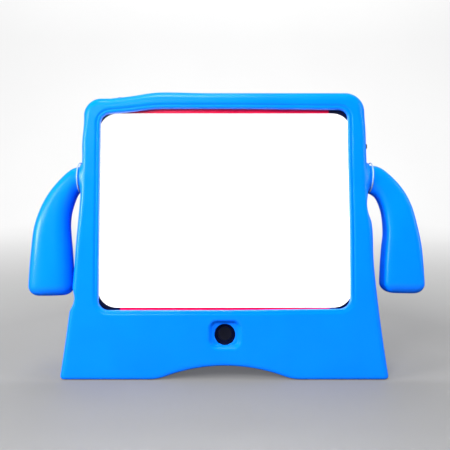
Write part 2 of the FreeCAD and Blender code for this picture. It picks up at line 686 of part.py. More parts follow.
def make_camera_window():
    return rod("y", 4.8, TABLET_BACK - 0.65, TABLET_BACK - 0.05, CAMERA_X, CAMERA_Z)


def make_antenna():
    return box(-30, 60, 13.0, 17.5, 247.85, 248.1)


def make_display_cable():
    """A flat ribbon from the backplate, stepped back in two tangent bends to the main board."""
    bend = 1.4
    near_y, far_y = PLATE_BACK + 0.2, BOARD_FRONT - 0.25
    half_step = (far_y - near_y) / 2
    turn = math.acos(1 - half_step / bend)
    low = 126.0
    mid = V(-84, near_y + half_step, low + bend * math.sin(turn))
    first = V(-84, near_y + bend * (1 - math.cos(turn / 2)), low + bend * math.sin(turn / 2))
    end = V(-84, far_y, low + 2 * bend * math.sin(turn))
    second = V(-84, far_y - bend * (1 - math.cos(turn / 2)), end.z - bend * math.sin(turn / 2))
    path = Part.Wire(
        [
            Part.LineSegment(V(-84, near_y, 104), V(-84, near_y, low)).toShape(),
            Part.Arc(V(-84, near_y, low), first, mid).toShape(),
            Part.Arc(mid, second, end).toShape(),
            Part.LineSegment(end, V(-84, far_y, 150)).toShape(),
        ]
    )
    front, back = near_y - 0.1, near_y + 0.1
    corners = [V(-84, front, 104), V(-70, front, 104), V(-70, back, 104), V(-84, back, 104)]
    section = Part.makePolygon([*corners, corners[0]])
    return path.makePipeShell([section], True, False)


def flat_cable(*runs):
    """A flat ribbon that lies on the boards' front faces, as overlapping straight runs (x0, x1, z0, z1)."""
    front = BOARD_FRONT - 0.25
    strips = [box(x0, x1, front, front + 0.2, z0, z1) for x0, x1, z0, z1 in runs]
    return strips[0].fuse(strips[1:]).removeSplitter() if len(strips) > 1 else strips[0]


def make_side_board_cable():
    return flat_cable((-60, 76, 196, 204))


def make_audio_cable():
    return flat_cable((-69.5, -65.5, 76, 148), (-80, -65.5, 76, 82))


def make_home_cable():
    return flat_cable((-6, 6, 44, 58), (-58, 6, 52, 58), (-58, -52, 52, 148))


def make_camera_cable():
    return flat_cable((CAMERA_X - 2.5, CAMERA_X + 2.5, 216, CAMERA_Z - 4.55))


# Fasteners
def screw(x, z, head_radius, head_from, head_to, shank_radius, tip):
    """A pan-head screw along y. The head lies from head_from to head_to, and the shank runs on to tip."""
    head = rod("y", head_radius, min(head_from, head_to), max(head_from, head_to), x, z)
    shank = rod("y", shank_radius, min(head_to, tip), max(head_to, tip), x, z)
    cross_depth = 0.5
    outward = -1 if tip > head_from else 1
    near_face = head_from + outward * 0.5
    inner = head_from - outward * cross_depth
    low, high = min(near_face, inner), max(near_face, inner)
    cross = box(x - head_radius * 0.6, x + head_radius * 0.6, low, high, z - 0.2, z + 0.2)
    bar = box(x - 0.2, x + 0.2, low, high, z - head_radius * 0.6, z + head_radius * 0.6)
    return head.fuse(shank).cut([cross, bar])


def make_housing_screws():
    return Part.makeCompound([screw(x, z, 2.1, 19.6, 18.05, 1.0, 8.6) for x, z in HOUSING_SCREWS])


def make_board_screws():
    fitted = [screw(x, z, 1.5, 14.1, BOARD_FRONT - 0.02, 0.7, 18.2) for x, z in BOARD_SCREWS]
    fitted += [screw(x, z, 1.5, 12.9, HOME_BOARD_FRONT - 0.02, 0.7, 17.6) for x, z in HOME_SCREWS]
    return Part.makeCompound(fitted)


def pieces():
    """Every node's name and its shape in the screen frame. The case is made apart, already on the floor."""
    made = {
        "front_bezel": make_front_bezel(),
        "rear_cover": make_rear_cover(),
        "cover_lens": make_cover_lens(),
        "touch_panel": make_touch_panel(),
        "display_panel": make_display_panel(),
        "display_backplate": make_display_backplate(),
        "upper_trim": make_upper_trim(),
        "lower_trim": make_lower_trim(),
        "home_button": make_home_button(),
        "home_switch": make_home_switch(),
        "home_switch_board": make_home_switch_board(),
        "power_key": make_power_key(),
        "power_switch": make_power_switch(),
        "volume_switch_board": make_volume_switch_board(),
        "volume_switches": make_volume_switches(),
        "main_board": make_main_board(),
        "side_board": make_side_board(),
        "audio_board": make_audio_board(),
        "board_chips": make_board_chips(),
        "processor_shield": make_processor_shield(),
        "battery_cell_left": make_battery_cell(-20.0),
        "battery_cell_right": make_battery_cell(32.0),
        "battery_board": make_battery_board(),
        "battery_leads": make_battery_leads(),
        "battery_connector": make_battery_connector(),
        "speaker_left": make_speaker(-SPEAKER_X),
        "speaker_right": make_speaker(SPEAKER_X),
        "speaker_cones": make_speaker_cones(),
        "speaker_gaskets": make_speaker_gaskets(),
        "speaker_leads": make_speaker_leads(),
        "headphone_jack": make_headphone_jack(),
        "charge_port": make_charge_port(),
        "charge_tongue": make_charge_tongue(),
        "rear_camera": make_rear_camera(),
        "camera_window": make_camera_window(),
        "antenna": make_antenna(),
        "display_cable": make_display_cable(),
        "side_board_cable": make_side_board_cable(),
        "audio_cable": make_audio_cable(),
        "home_cable": make_home_cable(),
        "camera_cable": make_camera_cable(),
        "housing_screws": make_housing_screws(),
        "board_screws": make_board_screws(),
    }
    for name, x in VOLUME_KEYS.items():
        made[name + "_key"] = make_volume_key(x)
    for name, shape in (
        ("arm_root", make_arm_root()),
        ("arm_band", make_arm_band()),
        ("arm", make_arm()),
    ):
        made["right_" + name] = shape
        made["left_" + name] = mirrored(shape)
    return made


def main():
    os.makedirs("parts", exist_ok=True)
    finished = {name: stand(shape) for name, shape in pieces().items()}
    finished["case_body"] = make_case_body()
    for name, shape in sorted(finished.items()):
        if not shape.isValid() or not shape.Solids or shape.Volume <= 0:
            raise RuntimeError(name + " is not a valid closed solid")
        shape.exportStep("parts/" + name + ".step")
        size = shape.BoundBox
        lengths = [round(v, 1) for v in (size.XLength, size.YLength, size.ZLength)]
        print(f"{name:22s} {len(shape.Solids)} solid(s)", lengths)


main()
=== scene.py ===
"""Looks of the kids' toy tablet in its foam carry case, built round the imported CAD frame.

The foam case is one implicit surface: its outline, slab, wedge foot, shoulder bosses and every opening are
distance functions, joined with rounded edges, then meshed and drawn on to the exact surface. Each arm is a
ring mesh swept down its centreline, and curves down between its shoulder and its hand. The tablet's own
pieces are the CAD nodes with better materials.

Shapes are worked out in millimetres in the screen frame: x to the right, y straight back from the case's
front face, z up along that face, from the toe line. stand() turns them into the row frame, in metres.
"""

import json
import math

import bpy
import numpy as np
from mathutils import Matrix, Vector


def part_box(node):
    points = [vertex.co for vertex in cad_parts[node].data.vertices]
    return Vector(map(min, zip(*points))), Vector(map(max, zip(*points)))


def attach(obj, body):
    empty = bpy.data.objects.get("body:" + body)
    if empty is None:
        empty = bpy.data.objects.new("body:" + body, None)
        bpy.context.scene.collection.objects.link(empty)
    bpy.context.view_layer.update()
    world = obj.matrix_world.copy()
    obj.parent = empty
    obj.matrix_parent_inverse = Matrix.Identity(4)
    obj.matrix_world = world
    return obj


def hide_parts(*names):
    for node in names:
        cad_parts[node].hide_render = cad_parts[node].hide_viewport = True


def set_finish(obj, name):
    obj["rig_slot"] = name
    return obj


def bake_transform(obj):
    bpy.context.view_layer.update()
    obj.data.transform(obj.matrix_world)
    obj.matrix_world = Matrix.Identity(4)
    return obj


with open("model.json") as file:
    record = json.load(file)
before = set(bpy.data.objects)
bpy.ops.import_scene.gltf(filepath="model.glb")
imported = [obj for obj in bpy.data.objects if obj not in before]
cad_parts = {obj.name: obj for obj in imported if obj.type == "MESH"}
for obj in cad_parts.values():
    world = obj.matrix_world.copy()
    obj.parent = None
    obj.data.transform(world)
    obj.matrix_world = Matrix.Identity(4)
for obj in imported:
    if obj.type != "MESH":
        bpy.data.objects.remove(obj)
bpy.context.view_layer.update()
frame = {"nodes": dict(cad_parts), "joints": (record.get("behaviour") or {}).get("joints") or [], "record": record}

# The stance, from the frame: the home button travels straight back into the screen
MM = 0.001
PRESS = next(j for j in frame["joints"] if j["name"] == "home_button_press")["axis"]
COS, SIN = PRESS[1], -PRESS[2]
CASE_LOW, CASE_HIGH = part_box("case_body")
TOE_Y = CASE_LOW.y / MM
FOOT_DEPTH = (CASE_HIGH.y - CASE_LOW.y) / MM

# Case outline
CASE_HEIGHT = 262.0
CASE_HALF_TOP = 128.0
CASE_HALF_FLOOR = 147.0
CASE_CORNER = 16.0
CASE_DEPTH = 32.0
FRONT_ROUND = 9.0
FRONT_ROUND_SIDE = 5.8
BACK_ROUND = 8.0
SOLE_ROUND = 3.0
HEEL_ROUND = 11.0
WAIST = (32.0, 118.0)
HEEL = (76.4, 30.9)
WAIST_BLEND = 22.0
ARCH_HALF_WIDTH, ARCH_HEIGHT = 60.0, 12.0
SAG_START, SAG_END, SAG_DEPTH = -58.0, -105.0, 5.7

# The foam's small waves in its outline: size, height and half length of each, then each side's inset
LEFT_WAVES = ((0.4, 237.0, 8.0), (-0.6, 214.0, 10.0), (-0.8, 125.0, 26.0))
RIGHT_WAVES = ((0.3, 240.0, 10.0), (-1.7, 134.0, 20.0))
LEFT_INSET, RIGHT_INSET = 1.6, 0.4
CROWN_INSET, CROWN_FALL = 0.8, 0.7

# Window, with its corner radii at low left, low right, high left and high right
WINDOW_HALF, WINDOW_LOW, WINDOW_HIGH = 114.0, 62.0, 245.0
WINDOW_CORNERS = (9.0, 10.5, 9.5, 8.0)
WINDOW_SAG_SHARE = 0.8
DRAWN_IN_LEFT, DRAWN_IN_RIGHT, DRAWN_IN_UPPER_RIGHT = 0.45, 0.9, 1.3
LOWER_EDGE_RISE, UPPER_EDGE_DROOP = 1.2, 0.9
LIP_WIDTH, LIP_STEP = 3.3, 0.5
GROOVE_HALF, GROOVE_DEPTH = 0.85, 0.55
LIP_BACK = 6.0

# Recess round the home button: half sizes, corner, slope of its walls, depth, and the round hole in its floor
RECESS_HALF_X, RECESS_HALF_Z, RECESS_CORNER = 14.6, 12.6, 7.6
RECESS_SLOPE, RECESS_DEPTH, RECESS_HOLE_RADIUS = 0.75, 4.0, 9.4

# Openings in the back and the edges: the depth or height that each one starts from
BACK_CUT_FROM = 19.5
SIDE_CUT_FROM = 117.0
TOP_CUT_FROM = 248.0
CAMERA_HOLE_RADIUS = 9.0
SLOT_HALF_X, SLOT_HALF_Z, SLOT_PITCH = 12.0, 2.6, 9.0
PANEL_Z, PANEL_HALF_X, PANEL_HALF_Z, PANEL_CORNER, PANEL_DEPTH = 188.0, 76.0, 44.0, 12.0, 1.3
POWER_KEY_HALF_Y = 2.6
JACK_SCOOP_X, JACK_SCOOP_RADIUS = CASE_HALF_FLOOR + 1.4, 12.7
CHARGE_SCOOP_X, CHARGE_SCOOP_RADIUS = CASE_HALF_TOP + 26.8, 26.0

# Pocket for the tablet
POCKET_HALF, POCKET_LOW, POCKET_HIGH, POCKET_CORNER = 119.3, 27.7, 250.3, 14.3
POCKET_BACK = 20.5

# Shoulders
SHOULDER_Y, SHOULDER_Z = 16.0, 182.6
BOSS_Y, BOSS_RADIUS, BOSS_FACE, BOSS_ROUND = 17.2, 14.4, 133.1, 1.3
BOSS_BLEND = 4.2

# White bands: the ring, where it rests, and how far it leans out at its front and at its top, per side
BAND_Z, BAND_RADIUS, BAND_TUBE, BAND_SEAT = SHOULDER_Z + 0.3, 13.9, 0.5, 133.7
BAND_LEAN_FRONT, BAND_LEAN_UP = 0.8, {-1: 0.2, 1: 0.7}

# Camera, and lights: name, power in watts, size, place, target, and whether it shows in reflections
CAMERA_PLACE, CAMERA_DOWN, CAMERA_LENS = (0.0, -0.600, 0.1933), 5.52, 51.7
MIDDLE = (0.0, 0.0, 0.15)
LIGHTS = [
    ("key", 22.5, (0.45, 0.45), (-0.3, -0.95, 0.75), MIDDLE, False),
    ("overhead", 6.0, (0.9, 0.3), (-0.1, 0.0, 1.25), MIDDLE, False),
    ("left_panel", 18.0, (0.4, 0.5), (-0.95, -0.45, 0.6), MIDDLE, False),
    ("right_panel", 13.0, (0.4, 0.5), (1.0, -0.2, 0.65), MIDDLE, False),
    ("top_glint", 2.2, (0.2, 0.05), (-0.16, -0.2, 1.2), MIDDLE, True),
    ("left_glint", 3.6, (0.09, 0.16), (-1.0, -0.27, 0.34), (-0.13, 0.0, 0.18), True),
    ("right_glint", 0.8, (0.09, 0.16), (1.0, -0.27, 0.34), (0.13, 0.0, 0.18), True),
    ("backdrop_glow", 130.0, (2.4, 0.5), (0.0, 0.95, 1.7), (0.0, 1.6, 0.45), False),
]
WORLD_STRENGTH = 0.7

# Grid lines that the foam is meshed on, as stretches of start, end and step: fine at edges, coarse on flats
GRID_X = ((0, 16, 1.0), (16, 84, 3.8), (84, 108, 2.0), (108, 120, 0.7), (120, 150, 1.35))
GRID_Y = ((-2, 4, 0.7), (4, 8, 0.9), (8, 19, 2.0), (19, 23, 1.3), (23, 37, 1.5), (37, 85, 2.6))
GRID_Z = (
    (-3, 9, 1.5),
    (9, 27, 2.6),
    (27, 55, 1.0),
    (55, 65, 0.7),
    (65, 104, 3.0),
    (104, 136, 1.6),
    (136, 236, 2.9),
    (236, 253, 0.8),
    (253, 266, 1.3),
)


# Frames and small mathematics
def stand(points):
    """Screen-frame points in millimetres as row-frame points in metres."""
    x, y, z = np.asarray(points, float).T
    return np.stack([x, y * COS + z * SIN + TOE_Y, z * COS - y * SIN], axis=1) * MM


def place(x, y, z):
    """One screen-frame point in the row frame, as a plain tuple."""
    return tuple(float(v) for v in stand([(x, y, z)])[0])


def smooth_step(low, high, value):
    """Zero at low, one at high, and an eased ramp between them."""
    t = np.clip((value - low) / (high - low), 0.0, 1.0)
    return t * t * (3.0 - 2.0 * t)


def round_max(a, b, radius):
    """Intersection of two distances, with the edge between them rounded to a true radius."""
    outside = np.hypot(np.maximum(a + radius, 0.0), np.maximum(b + radius, 0.0))
    return np.minimum(np.maximum(a, b), -radius) + outside


def soft_max(a, b, width):
    """Intersection of two distances with a softened edge."""
    h = np.clip(0.5 + 0.5 * (a - b) / width, 0.0, 1.0)
    return b + (a - b) * h + width * h * (1.0 - h)


def soft_min(a, b, width):
    """Union of two distances with a softened joint."""
    return -soft_max(-a, -b, width)


def round_rectangle(u, v, half_u, half_v, corner):
    """Distance to a rectangle with rounded corners, centred on zero."""
    qu = np.abs(u) - half_u + corner
    qv = np.abs(v) - half_v + corner
    return np.minimum(np.maximum(qu, qv), 0.0) + np.hypot(np.maximum(qu, 0.0), np.maximum(qv, 0.0)) - corner


def bell(value, centre, width):
    """A smooth bump of height one."""
    return np.exp(-(((value - centre) / width) ** 2))


# The foam case as a distance field
def outline(x, z):
    """The case from the front: sides that flare to the feet, rounded top corners and small waves."""
    rise = CASE_HEIGHT - CASE_CORNER
    flare = CASE_HALF_FLOOR - CASE_HALF_TOP
    radius = (rise**2 + flare**2) / (2.0 * flare)
    below = np.minimum(z - rise, 0.0)
    side = radius - np.hypot(np.abs(x) - CASE_HALF_TOP - radius, below)
    left = sum(size * bell(z, at, length) for size, at, length in LEFT_WAVES) - LEFT_INSET
    right = sum(size * bell(z, at, length) for size, at, length in RIGHT_WAVES) - RIGHT_INSET
    side = side + np.where(x < 0.0, left, right)
    crown = CASE_HEIGHT - CROWN_INSET - CROWN_FALL * smooth_step(-54.0, -14.0, x)
    return round_max(side, z - crown, np.where(x < 0.0, CASE_CORNER, CASE_CORNER + 2.0))


def top_sag(x, z):
    """How far the top bar droops at its left end, in the outline and in the window's edge alike."""
    ramp = np.clip((SAG_START - x) / (SAG_START - SAG_END), 0.0, 1.0)
    eased = ramp + 0.12 * np.sin(2.0 * np.pi * ramp) * (ramp - 1.0)
    return SAG_DEPTH * eased * smooth_step(195.0, 243.0, z)


def slab_and_foot(y, z, back, up):
    """The leaning slab with its wedge foot, between the front face, the heel and the floor."""
    run, drop = HEEL[0] - WAIST[0], WAIST[1] - HEEL[1]
    length = math.hypot(run, drop)
    wedge = ((y - WAIST[0]) * drop + (z - WAIST[1]) * run) / length
    rear = soft_min(y - CASE_DEPTH, wedge, WAIST_BLEND)
    return rear, back - FOOT_DEPTH, -up


def shoulder_boss(x, y, z):
    """The round bosses that the arms grow from, one on each side."""
    around = np.hypot(y - BOSS_Y, z - SHOULDER_Z) - BOSS_RADIUS
    return round_max(around, np.abs(x) - BOSS_FACE, BOSS_ROUND)


def window(x, z):
    """The window's outline. Its right side is drawn in a little, and its long edges close up towards it."""
    upper = smooth_step(120.0, 230.0, z)
    drawn_in = smooth_step(20.0, 100.0, x) * (DRAWN_IN_RIGHT + DRAWN_IN_UPPER_RIGHT * upper)
    drawn_in = drawn_in - DRAWN_IN_LEFT * smooth_step(-20.0, -100.0, x) * upper
    rise = LOWER_EDGE_RISE * smooth_step(-10.0, 110.0, x) * smooth_step(100.0, 60.0, z)
    droop = UPPER_EDGE_DROOP * smooth_step(0.0, 110.0, x) * upper
    low_left, low_right, high_left, high_right = WINDOW_CORNERS
    right = smooth_step(-20.0, 20.0, x)
    low = low_left + (low_right - low_left) * right
    high = high_left + (high_right - high_left) * right
    corner = low + (high - low) * smooth_step(110.0, 190.0, z)
    centre = (WINDOW_LOW + WINDOW_HIGH) / 2.0
    half = (WINDOW_HIGH - WINDOW_LOW) / 2.0
    return round_rectangle(x + drawn_in, z - rise + droop - centre, WINDOW_HALF, half, corner)


def lip_relief(edge, z):
    """How far the front face lies back near the window: a low lip, with a fine groove above and beside it."""
    lip = LIP_STEP * smooth_step(LIP_WIDTH + 1.0, LIP_WIDTH - 0.6, edge)
    return lip + GROOVE_DEPTH * smooth_step(58.0, 90.0, z) * bell(edge, LIP_WIDTH, GROOVE_HALF)


def pocket(x, y, z):
    """The space that the tablet fills, behind the lip."""
    centre = (POCKET_LOW + POCKET_HIGH) / 2.0
    across = round_rectangle(x, z - centre, POCKET_HALF, (POCKET_HIGH - POCKET_LOW) / 2.0, POCKET_CORNER)
    return np.maximum(across, np.maximum(LIP_BACK - y, y - POCKET_BACK))


def case_distance(x, y, z):
    """Signed distance to the foam's surface in the screen frame, negative inside the foam."""
    back = y * COS + z * SIN
    up = z * COS - y * SIN
    drooped = z + top_sag(x, z)
    rear, heel, sole = slab_and_foot(y, z, back, up)
    edge = window(x, z + WINDOW_SAG_SHARE * (drooped - z))
    front_round = FRONT_ROUND_SIDE + (FRONT_ROUND - FRONT_ROUND_SIDE) * smooth_step(222.0, 248.0, z)
    body = round_max(outline(x, drooped), lip_relief(edge, z) - y, front_round)
    body = round_max(body, rear, BACK_ROUND)
    body = round_max(body, heel, HEEL_ROUND)
    body = round_max(body, sole, SOLE_ROUND)
    arch_radius = (ARCH_HALF_WIDTH**2 + ARCH_HEIGHT**2) / (2.0 * ARCH_HEIGHT)
    arch = arch_radius - np.hypot(x, up + arch_radius - ARCH_HEIGHT)
    body = round_max(body, arch, SOLE_ROUND)
    body = soft_min(body, shoulder_boss(x, y, z), BOSS_BLEND)
    body = soft_max(body, -np.maximum(edge, y - LIP_BACK - 1.0), 2.4)
    for cut, softness in case_cuts(x, y, z):
        body = soft_max(body, -cut, softness)
    return np.maximum(body, -pocket(x, y, z))


def case_cuts(x, y, z):
    """The openings and recesses in the foam, each with the softness of its rim."""
    yield from home_recess(x, y, z)
    yield from back_openings(x, y, z)
    yield from socket_openings(x, y, z)
    yield from key_openings(x, y, z)


def home_recess(x, y, z):
    """The recess for a finger, and the round hole in its floor that shows the button."""
    home = CONTROL["home_button"]
    well = round_rectangle(x - home[0], z - home[2], RECESS_HALF_X, RECESS_HALF_Z, RECESS_CORNER)
    yield soft_max(well + RECESS_SLOPE * y, y - RECESS_DEPTH, 0.8), 0.8
    hole = np.hypot(x - home[0], z - home[2] + 0.5) - RECESS_HOLE_RADIUS
    yield np.maximum(hole, y - LIP_BACK - 1.0), 0.8


def back_openings(x, y, z):
    """The camera hole, the speaker slots and the shallow panel."""
    camera = CONTROL["rear_camera"]
    bore = np.hypot(x - camera[0], z - camera[2]) - CAMERA_HOLE_RADIUS
    yield np.maximum(bore - 0.25 * (y - POCKET_BACK), BACK_CUT_FROM - y), 3.0
    for name in ("speaker_left", "speaker_right"):
        speaker = CONTROL[name]
        for row in (-1, 0, 1):
            along, across = x - speaker[0], z - speaker[2] - SLOT_PITCH * row
            bar = round_rectangle(along, across, SLOT_HALF_X, SLOT_HALF_Z, SLOT_HALF_Z)
            yield np.maximum(bar, BACK_CUT_FROM - y), 1.8
    panel = round_rectangle(x, z - PANEL_Z, PANEL_HALF_X, PANEL_HALF_Z, PANEL_CORNER)
    yield soft_max(panel + 0.6 * (CASE_DEPTH - y), CASE_DEPTH - PANEL_DEPTH - y, 1.2), 1.6


def socket_openings(x, y, z):
    """A scooped edge and a hole at the headphone socket, and the same at the charging socket."""
    jack = CONTROL["headphone_jack"]
    yield np.hypot(x + JACK_SCOOP_X, z - jack[2] - 1.5) - JACK_SCOOP_RADIUS, 2.5
    yield np.maximum(np.hypot(y - jack[1], z - jack[2]) - 5.5, x + SIDE_CUT_FROM), 1.6
    charge = CONTROL["charge_port"]
    yield np.hypot(x - CHARGE_SCOOP_X, z - charge[2] + 0.6) - CHARGE_SCOOP_RADIUS, 1.6
    yield np.maximum(round_rectangle(y - charge[1], z - charge[2], 5.0, 8.0, 4.6), SIDE_CUT_FROM - x), 1.6


def key_openings(x, y, z):
    """The holes round the power key and the two volume keys."""
    power = CONTROL["power_key"]
    yield np.maximum(round_rectangle(y - POWER_Y, z - power[2], 3.6, 3.0, 1.6), SIDE_CUT_FROM - x), 1.2
    for name in ("volume_up_key", "volume_down_key"):
        key = CONTROL[name]
        yield np.maximum(round_rectangle(x - key[0], y - VOLUME_Y, 5.8, 2.9, 1.4), TOP_CUT_FROM - z), 1.2


def screen_box(node):
    """A CAD node's box in the screen frame, in millimetres, from its own vertices."""
    mesh = frame["nodes"][node].data
    co = np.empty(len(mesh.vertices) * 3)
    mesh.vertices.foreach_get("co", co)
    x, y, z = (co.reshape(-1, 3) / MM).T
    y = y - TOE_Y
    placed = np.stack([x, y * COS - z * SIN, y * SIN + z * COS], axis=1)
    return placed.min(0), placed.max(0)


def screen_centre(node):
    """The middle of a CAD node's box in the screen frame."""
    low, high = screen_box(node)
    return (low + high) / 2.0


CONTROL = {
    name: screen_centre(name)
    for name in (
        "home_button",
        "rear_camera",
        "speaker_left",
        "speaker_right",
        "headphone_jack",
        "charge_port",
        "power_key",
        "volume_up_key",
        "volume_down_key",
    )
}
POWER_Y = float(screen_box("power_key")[0][1] + POWER_KEY_HALF_Y)
VOLUME_Y = float(CONTROL["volume_up_key"][1])


def spaced(*stretches):
    """Grid lines from stretches of (start, end, step), without repeats."""
    lines = [np.linspace(a, b, max(2, round((b - a) / step) + 1)) for a, b, step in stretches]
    return np.unique(np.round(np.concatenate(lines), 4))


def mirrored_lines(*stretches):
    """Grid lines on both sides of zero."""
    half = spaced(*stretches)
    return np.unique(np.concatenate([-half, half]))


def edge_crossings(field, line, axis):
    """Which grid edges along one axis cross the surface, and where along the axis each one does."""
    near = np.take(field, range(field.shape[axis] - 1), axis)
    far = np.take(field, range(1, field.shape[axis]), axis)
    crossed = (near < 0) != (far < 0)
    share = np.where(crossed, near / np.where(crossed, near - far, 1.0), 0.0)
    reach = [1, 1, 1]
    reach[axis] = -1
    start, step = line[:-1].reshape(reach), np.diff(line).reshape(reach)
    return crossed, start + share * step


def surface_net(distance, xs, ys, zs):
    """Vertices and quads of a distance field's zero surface, on a grid and then drawn on to the surface."""
    grid = np.meshgrid(xs, ys, zs, indexing="ij")
    field = distance(*grid)
    shape = tuple(n - 1 for n in field.shape)
    total = np.zeros(shape + (3,))
    count = np.zeros(shape)
    for axis, line in enumerate((xs, ys, zs)):
        other = [a for a in range(3) if a != axis]
        crossed, along = edge_crossings(field, line, axis)
        for i, j in ((0, 0), (0, 1), (1, 0), (1, 1)):
            pick = [slice(None)] * 3
            for a, corner in zip(other, (i, j)):
                pick[a] = slice(corner, corner + shape[a])
            hit = crossed[tuple(pick)]
            count += hit
            total[..., axis] += np.where(hit, along[tuple(pick)], 0.0)
            for a in other:
                level = grid[a][tuple(slice(0, n) for n in crossed.shape)][tuple(pick)]
                total[..., a] += np.where(hit, level, 0.0)
    used = count > 0
    index = -np.ones(shape, int)
    index[used] = np.arange(used.sum())
    points = total[used] / count[used][:, None]
    for _ in range(4):
        points = draw_on(distance, points)
    return points, net_quads(field, index)


def net_quads(field, index):
    """One quad round each grid edge that crosses the surface, wound so that it faces out of the solid."""
    quads = []
    for axis in range(3):
        u, v = [(1, 2), (2, 0), (0, 1)][axis]
        near = np.take(field, range(field.shape[axis] - 1), axis) < 0
        far = np.take(field, range(1, field.shape[axis]), axis) < 0
        inner = [slice(1, -1)] * 3
        inner[axis] = slice(None)
        inner = tuple(inner)
        for leaving in (True, False):
            hit = (near & ~far if leaving else ~near & far)[inner]
            cell = list(np.nonzero(hit))
            corners = []
            for du, dv in ((0, 0), (1, 0), (1, 1), (0, 1)):
                at = list(cell)
                at[u] = cell[u] + du
                at[v] = cell[v] + dv
                corners.append(index[tuple(at)])
            quad = np.stack(corners, axis=1)
            quads.append(quad if leaving else quad[:, ::-1])
    return np.concatenate(quads)


def draw_on(distance, points):
    """Moves points along the field's slope to its zero surface, by at most half a millimetre."""
    small = 0.05
    x, y, z = points.T
    value = distance(x, y, z)
    slope = np.stack(
        [
            distance(x + small, y, z) - distance(x - small, y, z),
            distance(x, y + small, z) - distance(x, y - small, z),
            distance(x, y, z + small) - distance(x, y, z - small),
        ],
        axis=1,
    ) / (2 * small)
    steep = np.maximum((slope**2).sum(1), 0.2)
    step = np.clip(value / steep, -0.5, 0.5)
    return points - slope * step[:, None]


def new_mesh(name, points, faces):
    """A smooth-shaded object from row-frame points in metres."""
    mesh = bpy.data.meshes.new(name)
    mesh.from_pydata([tuple(p) for p in points], [], [tuple(int(i) for i in f) for f in faces])
    mesh.validate()
    mesh.polygons.foreach_set("use_smooth", [True] * len(mesh.polygons))
    mesh.update()
    made = bpy.data.objects.new(name, mesh)
    bpy.context.scene.collection.objects.link(made)
    return made


def make_case():
    """The foam case, meshed from its distance field."""
    points, quads = surface_net(case_distance, mirrored_lines(*GRID_X), spaced(*GRID_Y), spaced(*GRID_Z))
    case = new_mesh("foam_case", stand(points), quads)
    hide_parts("case_body")
    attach(case, "case")
    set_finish(case, "foam_blue")
    return case


# Arms. Stations from root to hand: x, z, heading below level in degrees, width, depth and squareness
ARM_STATIONS = [
    (132.5, 181.9, 0.0, 23.2, 23.4, 2.0),
    (138.4, 179.6, 12.0, 24.2, 24.0, 2.1),
    (144.2, 173.2, 28.0, 24.8, 24.4, 2.25),
    (150.9, 161.2, 44.0, 26.4, 25.2, 2.45),
    (155.6, 148.2, 57.0, 30.0, 26.8, 2.7),
    (158.4, 133.0, 73.0, 33.4, 28.6, 2.9),
    (159.5, 116.5, 86.0, 37.2, 30.2, 3.0),
    (159.6, 100.0, 90.0, 39.6, 31.4, 3.1),
    (159.6, 84.0, 91.0, 41.0, 32.0, 3.2),
]
HAND_END, HAND_ROUND = 74.6, 9.2
RING_POINTS, RINGS = 72, 72

# The right arm's shift outwards and up, in full from this share of its length on. Then each arm's squareness
RIGHT_ARM_SHIFT, SHIFTED_FROM = np.array((3.0, 0.0, 2.2)), 0.42
SQUARER = {-1: 0.4, 1: 3.4}

# Two points along each arm, as x and z, near where it turns from the shoulder down towards the hand; make_arm
# places them in the row frame but uses them no further
BLEND_START, BLEND_END = (139.5, 178.0), (150.5, 164.0)


def through(stations, count):
    """Rows that pass smoothly through the stations (a Catmull-Rom curve in every column)."""
    rows = np.array(stations, float)
    padded = np.vstack([2 * rows[0] - rows[1], rows, 2 * rows[-1] - rows[-2]])
    at = np.linspace(0, len(rows) - 1 - 1e-9, count)
    i = at.astype(int)
    t = (at - i)[:, None]
    a, b, c, d = padded[i], padded[i + 1], padded[i + 2], padded[i + 3]
    return 0.5 * (2 * b + (c - a) * t + (2 * a - 5 * b + 4 * c - d) * t**2 + (3 * b - a - 3 * c + d) * t**3)


def arm_ring(x, z, heading, width, depth, squareness):
    """One cross-section of the right arm, as a squared ellipse in the plane across its centreline."""
    turn = 2 * np.pi * np.arange(RING_POINTS) / RING_POINTS
    c, s = np.cos(turn), np.sin(turn)
    power = 2.0 / squareness
    across = np.sign(c) * np.abs(c) ** power * width / 2
    deep = np.sign(s) * np.abs(s) ** power * depth / 2
    tilt = math.radians(heading)
    return np.stack([x + across * math.sin(tilt), SHOULDER_Y + deep, z + across * math.cos(tilt)], axis=1)


def hand_rings(station):
    """The rounded lower edge of the hand and its flat end, as shrinking rings."""
    x, z, heading, width, depth, squareness = station
    rings = []
    for step in range(1, 9):
        turn = math.radians(90 * step / 8)
        drawn_in = 2 * HAND_ROUND * (1 - math.cos(turn))
        low = HAND_END + HAND_ROUND * (1 - math.sin(turn))
        rings.append(arm_ring(x, low, heading, width - drawn_in, depth - drawn_in, squareness))
    flat_width, flat_depth = width - 2 * HAND_ROUND, depth - 2 * HAND_ROUND
    for share in (0.8, 0.55, 0.3, 0.1):
        rings.append(arm_ring(x, HAND_END, heading, flat_width * share, flat_depth * share, squareness))
    return rings


def arm_stations(side):
    """One arm's stations. The left is rounder and fuller at its middle, the right squarer and slimmer."""
    stations = np.array(ARM_STATIONS)
    stations[:, 5] = 2.0 + (stations[:, 5] - 2.0) * SQUARER[side]
    if side < 0:
        stations[3:6, 3] += 1.6
        stations[3:6, 0] += 0.5
    else:
        stations[:2, 3] += 2.4
        stations[4, 3] -= 1.8
        stations[5:, 3] -= 4.2
    return stations


